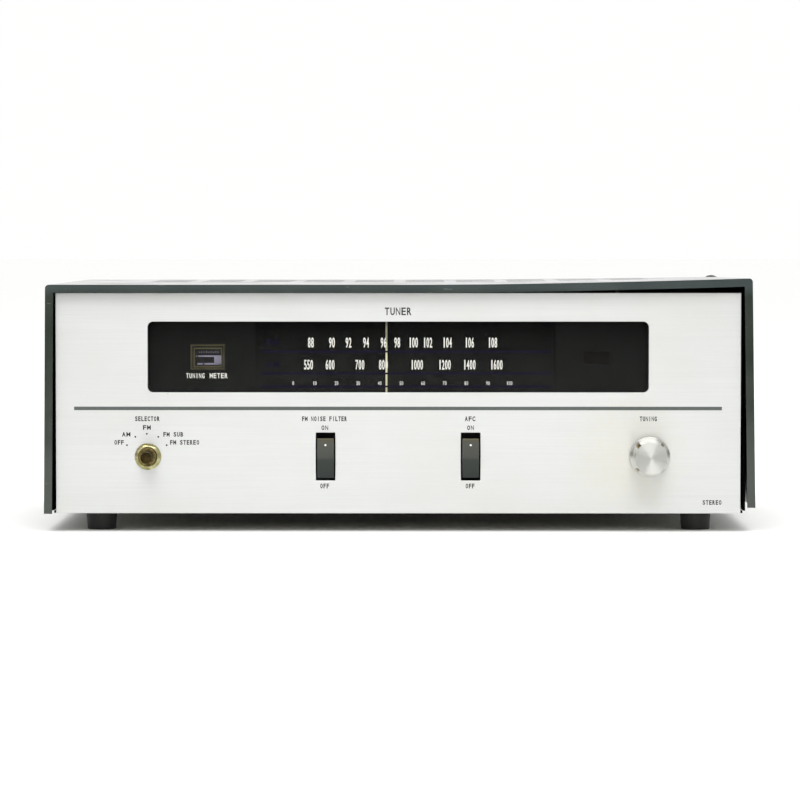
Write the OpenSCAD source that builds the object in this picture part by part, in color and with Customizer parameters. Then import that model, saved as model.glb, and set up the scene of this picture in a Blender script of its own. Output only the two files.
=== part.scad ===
/* [Case] */
// Depth of the cover from front rim to rear flange
case_d = 232.4; // [228:0.2:240]
// Sheet thickness of the cover
cover_t = 1.2; // [1:0.1:1.5]
// Width of the flange that the cover turns in round the front
rim_w = 4.3; // [3.5:0.1:4.5]
// Height of the cover's top above the table, at the left
cover_top_z = 132.6; // [132.2:0.1:134]
// How far the cover's right-hand end stands above its seat
cover_lift = 3.4; // [0:0.2:5]
// How far each leg of the cover leans out at its foot
leg_splay = 1.4; // [0.6:0.1:1.8]
// How far the faceplate lies behind the front rim
plate_recess = 5; // [4:0.5:6]

/* [Faceplate] */
// Width of the faceplate
plate_w = 367.4; // [366:0.2:368]
// Height of the faceplate
plate_h = 118.3; // [117:0.1:118.6]
// Thickness of the faceplate
plate_t = 2.5; // [2:0.1:2.5]
// Width of the dial window
window_w = 268.4; // [240:0.2:270]
// Height of the dial window
window_h = 38; // [36:0.2:39]
// Height of the window's centre above the table
window_z = 93.8; // [93:0.1:94.5]
// Height of the row of controls above the table
control_z = 40.4; // [40:0.1:41]
// Distance of the selector from the middle
selector_x = -134.2; // [-138:0.1:-130]
// Distance of the tuning knob from the middle
tuning_x = 134.8; // [131:0.1:138]
// Distance of each rocker from the middle
rocker_x = 38.9; // [38:0.1:40]

/* [Controls] */
// Diameter of the selector shaft
selector_d = 6; // [6:0.05:6.35]
// How far the selector shaft stands out of the faceplate
selector_out = 14; // [10:0.5:16]
// How far the tuning knob stands out of the faceplate
knob_out = 17; // [15:0.5:18]
// Diameter of the knob's skirt
skirt_d = 21.7; // [20:0.1:22]
// Diameter of the knob's turned face
knob_d = 17.5; // [16:0.1:18]
// Travel of each rocker in degrees
rocker_travel = 16; // [12:1:16]

/* [Dial drive] */
// Pitch radius of the dial drum, half a turn of which is the length of the scale
drum_r = 37; // [36:0.1:37]
// Pitch radius of the cord on the tuning shaft
spindle_r = 4.5; // [4.4:0.1:5]
// Place of the pointer along the scale at rest
pointer_x = -6.3; // [-50:0.1:55]

/* [Feet] */
// Height of the rubber feet
foot_h = 9.9; // [9:0.1:11]
// Distance of the feet from the middle
foot_x = 161; // [150:1:165]

/* [Hidden] */
$fn = 48;

// Planes from front to back
rim_y = -118;
back_y = rim_y + case_d;
plate_y = rim_y + plate_recess;
sub_y = plate_y + plate_t;
sheet = 1.2;
glass_y = sub_y;
glass_t = 3;
backplate_y = -103;
rail_y = -99.5;
cord_y = -91.5;
apron_y = -84;
rear_y = back_y - 2 * sheet;

// Levels from the table up
floor_z = foot_h;
pan_z = floor_z + sheet;
deck_z = 56;
rail_z = 119;
rail_r = 1.2;
drum_z = 80;
pan_x = 186.5;

// Cover outline
left_top_x = -188.6;
right_top_x = 189.3;
left_foot_x = left_top_x - leg_splay * 0.8;
right_foot_x = right_top_x + leg_splay * 1.36;
lift_from_x = 20;
lift_steps = 14;
corner_r = 2;

// Feet
foot_top_r = 8.45;
foot_low_r = 7.7;
foot_y = 92;
screw_r = 2;

// Panel screws, sheet-metal pan heads
small_screw_r = 1.5;
small_head_r = 3.1;
small_head_h = 2;
cover_screw_at = [[-130, 124.5], [0, 124.5], [130, 125.5], [-180, 70], [180, 72]];
rear_screw_at = [[-150, 51.5], [-50, 51.5], [50, 51.5], [150, 51.5]];

// Running fits
run = 0.05;

// Dial drive
drum_floor = drum_r - 1;
spindle_floor = spindle_r - 0.8;
idler_r = 6.5;
idler_floor = idler_r - 0.7;
left_idler_x = -74;
right_idler_x = 78;
idler_z = 115.5;
cord_r = 0.4;
gang_shaft_r = 3.175;
tuning_shaft_r = 3.175;

// Tuning gang
gang_x = 22;
gang_y0 = -80;
gang_y1 = -20;
rotor_r = 18;
vane_t = 0.8;
vane_pitch = 4;
vane_count = 11;
rotor_rest = 77.5;

// Meter
meter_x = -102.1;
meter_z = 93.4;
meter_w = 18.2;
meter_h = 13.1;
needle_rest = -38;

// Selector switch, its shaft full width where the knob fits and thinner inside
wafer_at = [-102, -96];
wafer_t = 1.6;
power_switch_y = -93;
selector_back_y = -85.5;
selector_bare = 8.1;
selector_neck_r = 2.7;
selector_step_y = plate_y - selector_out + selector_bare;

// Stereo lamp
jewel_x = 106.7;
jewel_w = 14.3;
jewel_h = 7.2;

// Rockers
opening_w = 10.3;
opening_h = 25.7;
rocker_w = 8.9;
pivot_y = plate_y + 5.5;
pivot_r = 1;

// Tubes as [x, y, radius, height]
nine_pin = [[105, -40, 11, 48], [105, 5, 11, 48], [60, 12, 11, 48], [105, 50, 11, 52], [60, 56, 11, 52]];
seven_pin = [[12, 12, 9, 40], [12, 56, 9, 40]];
tube_at = concat(nine_pin, seven_pin);
shielded = [0, 2, 5];
socket_h = 5;
if_can = [20, 20, 44];
if_can_at = [[82.5, 12], [82.5, 56], [36, 12], [36, 56]];

// Mains transformer, its core wide along X
transformer_at = [-140, 55];
core = [68, 32, 56];

// Rear fittings
jack_at = [[40, 36], [60, 36]];
antenna_x = 186.6;
antenna_cap_r = 4.4;
antenna_y = 122;
antenna_pin_r = 2;
rod_z = 122;
ferrite_r = 4;
terminal_at = [[110, 36], [125, 36], [140, 36], [155, 36]];
fuse_x = -120;
fuse_z = 34;
grommet_x = -160;
grommet_z = 30;
grommet_r = 5;

// A block between two corners
module block(low, high) {
    translate(low) cube(high - low);
}

// A round bar along Y from a point, with the same or another radius at its far end
module bar_y(at, length, r) {
    translate(at) rotate([-90, 0, 0]) cylinder(h = length, r = r);
}

// A round bar along X from a point
module bar_x(at, length, r) {
    translate(at) rotate([0, 90, 0]) cylinder(h = length, r = r);
}

// A hexagonal bar along Y from a point, r across its corners from the middle
module hex_y(at, length, r) {
    translate(at) rotate([-90, 30, 0]) cylinder(h = length, r = r, $fn = 6);
}

// A shape turned about Y, drawn as radius against distance back from a point
module turned_y(at) {
    translate(at) rotate([-90, 0, 0]) rotate_extrude() children();
}

// An upright outline in X and Z, given thickness back from y
module upright(y, thickness) {
    translate([0, y, 0]) mirror([0, 1, 0]) rotate([90, 0, 0]) linear_extrude(thickness) children();
}

// A rectangle with round corners, centred
module round_rect(w, h, r) {
    for (sx = [-1, 1], sz = [-1, 1]) translate([sx * (w / 2 - r), sz * (h / 2 - r)]) circle(r);
    square([w - 2 * r, h], center = true);
    square([w, h - 2 * r], center = true);
}

module pan_screw_y(at, length) {
    bar_y([at.x, at.y, at.z], small_head_h, small_head_r);
    bar_y([at.x, at.y - length, at.z], length, small_screw_r);
}

// Height of the cover's bow above its seat at x
function bow(x) = cover_lift * pow(max(0, (x - lift_from_x) / (right_top_x - lift_from_x)), 1.5);

function top_x(i) = lift_from_x + (right_top_x - corner_r - lift_from_x) * i / lift_steps;

// Outline of the cover a given distance inside its outer face, from the left foot round to the right
function cover_line(inside) = [
    [left_foot_x + inside, floor_z],
    [left_top_x + inside, cover_top_z - max(corner_r, inside)],
    if (inside < corner_r) for (a = [165:-15:105])
        [left_top_x + corner_r, cover_top_z - corner_r]
            + (corner_r - inside) * [cos(a), sin(a)],
    [left_top_x + max(corner_r, inside), cover_top_z - inside],
    for (i = [0:lift_steps]) [min(top_x(i), right_top_x - inside), cover_top_z - inside + bow(top_x(i))],
    if (inside < corner_r) for (a = [75:-15:15])
        [right_top_x - corner_r, cover_top_z - corner_r + cover_lift]
            + (corner_r - inside) * [cos(a), sin(a)],
    [right_top_x - inside, cover_top_z + cover_lift - max(corner_r, inside)],
    [right_foot_x - inside, floor_z + cover_lift]
];

function backwards(list) = [for (i = [len(list) - 1:-1:0]) list[i]];

module cover_ring(width) {
    polygon(concat(cover_line(0), backwards(cover_line(width))));
}

module faceplate() {
    color("gainsboro") difference() {
        block([-plate_w / 2, plate_y, floor_z], [plate_w / 2, plate_y + plate_t, floor_z + plate_h]);
        upright(plate_y - 1, plate_t + 2) translate([0, window_z]) round_rect(window_w, window_h, 3);
        for (sx = [-1, 1])
            block([sx * rocker_x - opening_w / 2, plate_y - 1, control_z - opening_h / 2],
                [sx * rocker_x + opening_w / 2, plate_y + plate_t + 1, control_z + opening_h / 2]);
        bar_y([selector_x, plate_y - 1, control_z], plate_t + 2, 4.85);
        bar_y([tuning_x, plate_y - 1, control_z], plate_t + 2, 5);
    }
}

module sub_panel() {
    color("silver") difference() {
        block([-183, sub_y, pan_z + 1], [183, sub_y + sheet, 127.5]);
        block([-138.5, sub_y - 1, window_z - 22.5], [138.5, sub_y + 3, window_z + 22.5]);
        for (sx = [-1, 1])
            block([sx * rocker_x - opening_w / 2 - 0.2, sub_y - 1, control_z - opening_h / 2 - 0.2],
                [sx * rocker_x + opening_w / 2 + 0.2, sub_y + 3, control_z + opening_h / 2 + 0.2]);
        bar_y([selector_x, sub_y - 1, control_z], 4, 4.85);
        bar_y([tuning_x, sub_y - 1, control_z], 4, 5);
    }
}

module cover() {
    slot_w = 22;
    slot_pitch = 29;
    row_pitch = 12;
    color("darkslategray") difference() {
        union() {
            upright(rim_y, case_d) cover_ring(cover_t);
            upright(rim_y, cover_t) cover_ring(rim_w);
            upright(back_y - cover_t, cover_t) cover_ring(12);
        }
        for (column = [-4.5:4.5], row = [0:8])
            translate([column * slot_pitch - slot_w / 2, -8 + row * row_pitch, cover_top_z - 5])
                cube([slot_w, 3, 12]);
        for (p = cover_screw_at) bar_y([p.x, back_y - 3, p.y], 5, small_screw_r + 0.1);
    }
}

module chassis() {
    color("lightgray") difference() {
        union() {
            block([-pan_x, apron_y, deck_z - sheet], [pan_x, rear_y, deck_z]);
            block([-pan_x, apron_y, pan_z], [pan_x, apron_y + sheet, deck_z]);
            block([-pan_x, rear_y - sheet, pan_z], [pan_x, rear_y, deck_z]);
            for (sx = [-1, 1])
                block([min(sx * pan_x, sx * (pan_x - sheet)), sub_y + sheet, pan_z],
                    [max(sx * pan_x, sx * (pan_x - sheet)), rear_y, deck_z]);
        }
        for (t = tube_at) translate([t.x, t.y, deck_z - 3]) cylinder(h = 5, r = t[2] - 1.5);
        bar_y([tuning_x, apron_y - 1, control_z], 4, 4.85);
        for (j = jack_at) bar_y([j.x, rear_y - 3, j.y], 5, 4.4);
        for (t = terminal_at) bar_y([t.x, rear_y - 3, t.y], 5, 3);
        bar_y([fuse_x, rear_y - 3, fuse_z], 5, 6.3);
        bar_y([grommet_x, rear_y - 3, grommet_z], 5, grommet_r);
        for (p = rear_screw_at) bar_y([p.x, rear_y - 3, p.y], 5, small_screw_r + 0.1);
    }
}

module bottom_plate() {
    slot_pitch = 26;
    row_pitch = 24;
    color("silver") difference() {
        block([-185, plate_y + plate_t + 0.3, floor_z], [185, rear_y, pan_z]);
        at_each_foot() cylinder(h = 20, r = screw_r + 0.2);
        for (column = [-4:4], row = [-2:2])
            translate([column * slot_pitch - 9, row * row_pitch - 1.6, 5]) cube([18, 3.2, 10]);
    }
}

module rear_panel() {
    slot = [19, 5, 3.2];
    slot_pitch = 27;
    row_pitch = 11;
    color("dimgray") difference() {
        block([-184, rear_y, 47], [184, rear_y + sheet, 129]);
        for (column = [-5:4], row = [0:3])
            translate([column * slot_pitch + 4, rear_y - 1, 66 + row * row_pitch]) cube(slot);
        for (p = rear_screw_at) bar_y([p.x, rear_y - 1, p.y], 5, small_screw_r + 0.1);
        for (p = cover_screw_at) bar_y([p.x, rear_y - 1, p.y], 5, small_screw_r + 0.1);
    }
}

module at_each_foot() {
    for (sx = [-1, 1], sy = [-1, 1]) translate([sx * foot_x, sy * foot_y, 0]) children();
}

module feet() {
    color("#1a1a1a") at_each_foot() difference() {
        cylinder(h = foot_h, r1 = foot_low_r, r2 = foot_top_r);
        translate([0, 0, -1]) cylinder(h = foot_h + 2, r = screw_r + 0.2);
        translate([0, 0, -1]) cylinder(h = 6, r = 4.6);
    }
}

module foot_screws() {
    color("silver") at_each_foot() {
        translate([0, 0, 2.6]) cylinder(h = 2.4, r = 4);
        translate([0, 0, 4]) cylinder(h = 14, r = screw_r);
        translate([0, 0, pan_z]) difference() {
            cylinder(h = 3, r = 4, $fn = 6);
            translate([0, 0, -1]) cylinder(h = 5, r = screw_r - 0.2);
        }
    }
}

module panel_screws() {
    color("silver") {
        for (p = cover_screw_at) pan_screw_y([p.x, back_y, p.y], 5);
        for (p = rear_screw_at) pan_screw_y([p.x, rear_y + sheet, p.y], 5);
    }
}

module cord_grommet() {
    color("#151515") turned_y([grommet_x, rear_y - 3, grommet_z]) polygon([
        [3.6, 0], [6, 0], [6.4, 0.6], [6.4, 1.8], [grommet_r, 1.8], [grommet_r, 3],
        [6.4, 3], [6.4, 4.4], [6, 5], [3.6, 5]]);
}

module dial_glass() {
    color("#1e1f1e") block([-138, glass_y, window_z - 22], [138, glass_y + glass_t, window_z + 22]);
}

module glass_clips() {
    color("silver") for (x = [-110, -20, 50, 110], sz = [-1, 1]) {
        edge = window_z + sz * 22;
        block([x - 5, sub_y + sheet, min(edge + sz * 0.5, edge + sz * 7)],
            [x + 5, sub_y + sheet + 0.7, max(edge + sz * 0.5, edge + sz * 7)]);
        block([x - 5, sub_y + sheet, min(edge + sz * 0.5, edge + sz * 1.2)],
            [x + 5, glass_y + glass_t + 0.7, max(edge + sz * 0.5, edge + sz * 1.2)]);
        block([x - 5, glass_y + glass_t, min(edge - sz * 1.8, edge + sz * 1.2)],
            [x + 5, glass_y + glass_t + 0.7, max(edge - sz * 1.8, edge + sz * 1.2)]);
    }
}

module dial_backplate() {
    color("#22241f") difference() {
        union() {
            block([-85, backplate_y, 64], [136, backplate_y + 0.8, 113]);
            for (x = [-84, 90])
                block([x - 0.6, backplate_y, 108], [x + 0.6, rail_y + 3, rail_z + 3]);
        }
        bar_x([-90, rail_y, rail_z], 190, rail_r + run);
        bar_y([jewel_x, backplate_y - 1, meter_z], 3, 4);
    }
}

module dial_bracket() {
    color("silver") difference() {
        block([-84, apron_y - sheet, 40], [90, apron_y, 125]);
        bar_y([0, apron_y - 3, drum_z], 5, 7);
        for (x = [-55, 62]) bar_y([x, apron_y - 3, drum_z], 5, 12);
    }
}

module dial_spacers() {
    color("silver") for (x = [-79, 85], z = [72, 100])
        bar_y([x, backplate_y + 0.8, z], apron_y - sheet - backplate_y - 0.8, 2.5);
}

module pointer_rail() {
    color("silver") bar_x([-84.6, rail_y, rail_z], 175.2, rail_r);
}

module pointer() {
    color("cornsilk") translate([pointer_x, 0, 0]) difference() {
        union() {
            block([-7, -101.7, rail_z - 2.6], [7, -97, rail_z + 2.6]);
            block([-2.5, -105.6, rail_z - 1.2], [2.5, -101, rail_z + 1.2]);
            block([-0.5, -105.6, 74.5], [0.5, -104.9, rail_z]);
            block([-3, -98, 120.4], [3, -89.5, 121.2]);
        }
        bar_x([-10, rail_y, rail_z], 20, rail_r + run);
    }
}

module dial_lamps() {
    lamp_y = backplate_y - 2.9;
    color("ivory") {
        for (x = [-48, 48]) {
            bar_x([x - 12, lamp_y, 68], 24, 2.6);
            bar_x([x - 15, lamp_y, 68], 3, 2.2);
            bar_x([x + 12, lamp_y, 68], 3, 2.2);
        }
        bar_y([jewel_x, backplate_y - 0.4, meter_z], 12, 3.2);
    }
}

module stereo_jewel() {
    color("#2a1512") block([jewel_x - jewel_w / 2, glass_y + glass_t, meter_z - jewel_h / 2],
        [jewel_x + jewel_w / 2, backplate_y - 0.6, meter_z + jewel_h / 2]);
}

module meter_case() {
    wall = 2;
    y0 = glass_y + glass_t;
    color("#6b6238") difference() {
        block([meter_x - 13, y0, meter_z - 11], [meter_x + 13, y0 + 17, meter_z + 11]);
        block([meter_x - 13 + wall, y0 + 1.5, meter_z - 11 + wall],
            [meter_x + 13 - wall, y0 + 17 - wall, meter_z + 11 - wall]);
        block([meter_x - meter_w / 2, y0 - 1, meter_z - meter_h / 2],
            [meter_x + meter_w / 2, y0 + 3, meter_z + meter_h / 2]);
    }
}

module meter_scale() {
    y0 = glass_y + glass_t + 6;
    color("lavender") {
        block([meter_x - 10.5, y0, meter_z - 8.6], [meter_x + 10.5, y0 + 0.6, meter_z + 8.6]);
        bar_y([meter_x, y0 + 0.6, meter_z - 4], 7, 4.2);
    }
}

module meter_needle() {
    y0 = glass_y + glass_t + 3.2;
    color("#2a1c1a") translate([meter_x, y0, meter_z - 7]) rotate([0, needle_rest, 0]) {
        block([-0.3, 0, -1.4], [0.3, 0.6, 11.5]);
        bar_y([0, -0.3, 0], 1.8, 1);
    }
}

module drum() {
    color("beige") difference() {
        turned_y([0, -94.5, drum_z]) polygon([
            [gang_shaft_r, -1.5], [7, -1.5], [7, 2.5], [30, 2.5], [30, 0], [drum_r + 1.5, 0],
            [drum_r + 1.5, 0.8], [drum_floor, 1.6], [drum_floor, 6.4], [drum_r + 1.5, 7.2],
            [drum_r + 1.5, 8], [30, 8], [30, 4.5], [7, 4.5], [7, 8], [gang_shaft_r, 8]]);
        for (a = [0:72:288]) rotate_about_drum(a) bar_y([0, -96, drum_z + 19], 10, 6.5);
    }
}

module rotate_about_drum(angle) {
    translate([0, 0, drum_z]) rotate([0, angle, 0]) translate([0, 0, -drum_z]) children();
}

// A point on the cord's line round a wheel, at an angle from +X towards +Z
function on_wheel(x, y, z, r, a) = [x + r * cos(a), y, z + r * sin(a)];

// The cord's line where it winds from angle a0 down to a1 while it moves from y0 to y1
function winding(x, z, r, a0, a1, y0, y1, rings) = [
    for (i = [0:rings]) on_wheel(x, y0 + (y1 - y0) * i / rings, z, r, a0 + (a1 - a0) * i / rings)
];

cord_line = concat(
    winding(0, drum_z, drum_r, 267, -137.4, -89, cord_y, 25),
    winding(left_idler_x, idler_z, idler_r, 222.6, 90, cord_y, cord_y, 6),
    winding(right_idler_x, idler_z, idler_r, 90, 35.9, cord_y, cord_y, 3),
    winding(tuning_x, control_z, spindle_r, 35.9, -813, -93, -89, 28),
    [[-1, -89, 42.3]]
);

function unit(v) = v / norm(v);

function heading(i) = unit(cord_line[min(i + 1, len(cord_line) - 1)] - cord_line[max(i - 1, 0)]);

function cord_ring(i) = [
    for (k = [0:7]) cord_line[i] + cord_r * (cos(45 * k) * unit(cross(heading(i), [0, 1, 0]))
        + sin(45 * k) * unit(cross(cross(heading(i), [0, 1, 0]), heading(i))))
];

module dial_cord() {
    last = len(cord_line) - 2;
    color("wheat") polyhedron(
        points = [for (i = [0:last]) each cord_ring(i)],
        faces = concat(
            [[for (k = [7:-1:0]) k]],
            [for (i = [0:last - 1], k = [0:7])
                [i * 8 + k, i * 8 + (k + 1) % 8, (i + 1) * 8 + (k + 1) % 8, (i + 1) * 8 + k]],
            [[for (k = [0:7]) last * 8 + k]]));
}

module idler(x) {
    turned_y([x, cord_y - 3, idler_z]) polygon([
        [1.5 + run, 0], [idler_r + 1.2, 0], [idler_r + 1.2, 0.8], [idler_floor, 1.8],
        [idler_floor, 4.2], [idler_r + 1.2, 5.2], [idler_r + 1.2, 6], [1.5 + run, 6]]);
}

module left_idler() {
    color("beige") idler(left_idler_x);
}

module right_idler() {
    color("beige") idler(right_idler_x);
}

module idler_posts() {
    color("silver") for (x = [left_idler_x, right_idler_x]) {
        bar_y([x, cord_y - 5, idler_z], apron_y - sheet - cord_y + 5, 1.5);
        bar_y([x, cord_y - 5.2, idler_z], 1.5, 3);
        bar_y([x, cord_y + 3.5, idler_z], apron_y - sheet - cord_y - 3.5, 3);
    }
}

module gang_frame() {
    color("silver") difference() {
        union() {
            block([-gang_x, gang_y0, deck_z], [gang_x, gang_y1, deck_z + 1.6]);
            block([-gang_x, gang_y0, deck_z], [gang_x, gang_y0 + 2, 102]);
            block([-gang_x, gang_y1 - 2, deck_z], [gang_x, gang_y1, 102]);
        }
        bar_y([0, gang_y0 - 5, drum_z], 70, gang_shaft_r + run);
    }
}

module gang_stators() {
    color("lightsteelblue") {
        for (i = [0:vane_count - 2])
            translate([0, gang_y0 + 10 + vane_pitch / 2 + i * vane_pitch, drum_z]) rotate([-90, 0, 0])
                difference() {
                    cylinder(h = vane_t, r = rotor_r + 2.5);
                    translate([0, 0, -1]) cylinder(h = 3, r = 5.5);
                    translate([-2, -30, -1]) cube([40, 60, 3]);
                }
        for (a = [150, 210])
            translate([(rotor_r + 1.6) * cos(a), 0, (rotor_r + 1.6) * sin(a)])
                bar_y([0, gang_y0 + 2, drum_z], gang_y1 - gang_y0 - 4, 0.9);
    }
}

module gang_rotor() {
    color("silver") {
        bar_y([0, -97, drum_z], gang_y1 + 100, gang_shaft_r);
        for (i = [0:vane_count - 1])
            translate([0, gang_y0 + 10 + i * vane_pitch, drum_z]) rotate([-90, rotor_rest - 180, 0])
                difference() {
                    cylinder(h = vane_t, r = rotor_r);
                    translate([-30, 0, -1]) cube([60, 30, 3]);
                }
    }
}

module tuning_shaft() {
    color("silver") {
        bar_y([tuning_x, plate_y - knob_out + 3, control_z], knob_out + 55, tuning_shaft_r);
        turned_y([tuning_x, -95, control_z]) polygon([
            [0, 0], [6.5, 0], [6.5, 0.8], [spindle_floor, 1.2], [spindle_floor, 6.8],
            [6.5, 7.4], [6.5, 8.2], [0, 8.2]]);
    }
}

module tuning_bushing() {
    color("#b0a060") difference() {
        union() {
            bar_y([tuning_x, apron_y - 1.6, control_z], 1.6, 7);
            bar_y([tuning_x, apron_y - 1, control_z], 13, 4.75);
            hex_y([tuning_x, apron_y + sheet, control_z], 2.4, 7.3);
        }
        bar_y([tuning_x, apron_y - 5, control_z], 30, tuning_shaft_r + run);
    }
}

module flywheel() {
    color("#b0a060") difference() {
        bar_y([tuning_x, -107.5, control_z], 9, 17);
        bar_y([tuning_x, -110, control_z], 20, tuning_shaft_r);
    }
}

module tuning_knob() {
    front = plate_y - knob_out;
    back = knob_out - 0.8;
    color("#d8d8d4") difference() {
        turned_y([tuning_x, front, control_z]) polygon([
            [0, 0.5], [knob_d / 2 - 0.9, 0.5], [knob_d / 2 - 0.7, 0], [knob_d / 2 - 0.3, 0],
            [knob_d / 2, 0.4], [knob_d / 2 + 0.3, 10.8], [skirt_d / 2 - 0.5, 12.4],
            [skirt_d / 2, 13], [skirt_d / 2, back], [0, back]]);
        bar_y([tuning_x, front + 3, control_z], 30, tuning_shaft_r);
        bar_x([tuning_x, front + 7, control_z], 30, 1.5);
    }
}

module knob_set_screw() {
    color("dimgray") bar_x([tuning_x + tuning_shaft_r, plate_y - knob_out + 7, control_z], 4.5, 1.5);
}

module selector_shaft() {
    color("#9a8a58") difference() {
        union() {
            bar_y([selector_x, plate_y - selector_out, control_z], selector_bare, selector_d / 2);
            bar_y([selector_x, selector_step_y, control_z], selector_back_y - selector_step_y,
                selector_neck_r);
        }
        block([selector_x - 5, plate_y - selector_out - 1, control_z + 1.9],
            [selector_x + 5, plate_y - selector_out + 1.5, control_z + 5]);
    }
}

module selector_bushing() {
    color("#b0a060") difference() {
        union() {
            bar_y([selector_x, plate_y - 4.4, control_z], plate_t + sheet + 4.4, 4.75);
            bar_y([selector_x, sub_y + sheet, control_z], 2, 13);
        }
        bar_y([selector_x, plate_y - 10, control_z], 30, selector_neck_r + run);
    }
}

module selector_nut() {
    color("#b8a870") difference() {
        hex_y([selector_x, plate_y - 2.4, control_z], 2.4, 7.15);
        bar_y([selector_x, plate_y - 5, control_z], 10, 4.76);
    }
}

module selector_wafers() {
    color("#8a5a2c") {
        for (y = wafer_at) difference() {
            bar_y([selector_x, y, control_z], wafer_t, 15);
            bar_y([selector_x, y - 1, control_z], 4, 6.3);
        }
        for (sx = [-1, 1])
            bar_y([selector_x + sx * 12, sub_y + sheet + 2, control_z],
                power_switch_y - sub_y - sheet - 2, 1.2);
    }
}

module selector_rotors() {
    color("#d8cfa8") for (y = wafer_at) difference() {
        bar_y([selector_x, y, control_z], wafer_t, 6);
        bar_y([selector_x, y - 1, control_z], 4, selector_neck_r);
    }
}

module power_switch() {
    color("#3a2a20") difference() {
        bar_y([selector_x, power_switch_y, control_z], selector_back_y - power_switch_y, 12.5);
        bar_y([selector_x, power_switch_y - 2, control_z], 12, selector_neck_r + 0.1);
    }
}

// One rocker, with its middle ridge in front and its pivot pins at the sides
module rocker(x) {
    tilt = rocker_travel / 2;
    translate([x, pivot_y, control_z]) rotate([tilt, 0, 0]) {
        rotate([90, 0, 90]) translate([0, 0, -rocker_w / 2]) linear_extrude(rocker_w) polygon([
            [-6.4, 10.9], [-7.2, 9.6], [-8.3, 0], [-7.2, -9.6], [-6.4, -10.9], [1.5, -8], [1.5, 8]]);
        bar_x([-opening_w / 2 - 1.5, 0, 0], opening_w + 3, pivot_r);
    }
}

module noise_filter_rocker() {
    color("#4a4b44") rocker(-rocker_x);
}

module afc_rocker() {
    color("#4a4b44") rocker(rocker_x);
}

module rocker_cases() {
    y0 = sub_y + sheet;
    color("#151515") for (sx = [-1, 1]) translate([sx * rocker_x, 0, control_z]) {
        difference() {
            block([-7.5, y0, -15.5], [7.5, y0 + 12, 15.5]);
            block([-opening_w / 2, y0 - 1, -opening_h / 2], [opening_w / 2, y0 + 10, opening_h / 2]);
            bar_x([-6.9, pivot_y, 0], 13.8, pivot_r + run);
        }
        for (z = [-8, 0, 8]) block([-1.2, y0 + 12, z - 0.4], [1.2, y0 + 15.5, z + 0.4]);
    }
}

module transformer_core() {
    color("#5a5248") translate([transformer_at.x, transformer_at.y, deck_z])
        block([-core.x / 2, -core.y / 2, 0], [core.x / 2, core.y / 2, core.z]);
}

module transformer_bells() {
    color("#26292b") translate([transformer_at.x, transformer_at.y, deck_z + core.z / 2]) for (sy = [-1, 1])
        translate([0, sy * core.y / 2, 0]) rotate([-90 * sy, 0, 0]) {
            linear_extrude(1) square([core.x, core.z], center = true);
            hull() {
                linear_extrude(1) square([core.x - 8, core.z - 8], center = true);
                translate([0, 0, 15]) linear_extrude(1) square([core.x - 20, core.z - 20], center = true);
            }
        }
}

module filter_capacitor() {
    color("silver") translate([-85, 70, deck_z]) {
        cylinder(h = 62, r = 12.5);
        cylinder(h = 1.5, r = 17);
    }
}

module tube_sockets() {
    color("#c9b68a") for (t = tube_at) translate([t.x, t.y, deck_z]) difference() {
        cylinder(h = socket_h, r = t[2] + 0.6);
        translate([0, 0, socket_h - 2]) cylinder(h = 5, r = t[2] - 3);
    }
}

module tubes() {
    color("lightcyan", 0.5) for (t = tube_at) translate([t.x, t.y, deck_z + socket_h]) {
        shoulder = t[3] - t[2] * 0.6;
        cylinder(h = shoulder, r = t[2] - 0.6);
        translate([0, 0, shoulder]) cylinder(h = t[2] * 0.5, r1 = t[2] - 0.6, r2 = 3);
        translate([0, 0, t[3] - t[2] * 0.2]) cylinder(h = 5, r1 = 3, r2 = 0.8);
    }
}

module tube_shields() {
    color("silver") for (i = shielded) {
        t = tube_at[i];
        translate([t.x, t.y, deck_z + socket_h]) difference() {
            cylinder(h = t[3] + 6, r = t[2] + 0.5);
            translate([0, 0, -1]) cylinder(h = t[3] + 6, r = t[2] - 0.1);
            cylinder(h = 90, r = 4.5);
        }
    }
}

module if_transformers() {
    color("silver") for (p = if_can_at) translate([p.x, p.y, deck_z]) difference() {
        block([-if_can.x / 2, -if_can.y / 2, 0], [if_can.x / 2, if_can.y / 2, if_can.z]);
        translate([0, 0, if_can.z - 2]) cylinder(h = 5, r = 3);
    }
}

module fm_front_end() {
    color("lightgray") {
        block([27, -76, deck_z], [82, -30, deck_z + 34]);
        for (x = [36, 50, 64]) translate([x, -53, deck_z + 34]) cylinder(h = 3, r = 3.5);
    }
}

module multiplex_board() {
    color("#8a6a34") {
        block([124, -50, deck_z + 6], [178, 90, deck_z + 7.6]);
        for (x = [128, 174], y = [-46, 86]) translate([x, y, deck_z]) cylinder(h = 6, r = 3);
        for (y = [-30, 10, 50]) block([131, y - 7, deck_z + 7.6], [145, y + 7, deck_z + 34]);
        for (y = [-35, -10, 15, 40, 65]) translate([163, y, deck_z + 7.6]) cylinder(h = 14, r = 5);
    }
}

module output_jacks() {
    color("#b9b9b4") for (j = jack_at) difference() {
        union() {
            bar_y([j.x, rear_y, j.y], 1.6, 6.5);
            bar_y([j.x, rear_y - 5, j.y], 16, 4.15);
        }
        bar_y([j.x, rear_y + 1, j.y], 12, 1.6);
    }
}

module antenna_board() {
    color("#3a2a20") difference() {
        block([102, rear_y, 28], [163, rear_y + 2.4, 44]);
        for (t = terminal_at) bar_y([t.x, rear_y - 1, t.y], 5, 1.8);
    }
}

module antenna_screws() {
    color("silver") for (t = terminal_at) {
        bar_y([t.x, rear_y + 2.4, t.y], 3, 4);
        bar_y([t.x, rear_y - 5, t.y], 8, 1.7);
    }
}

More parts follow.
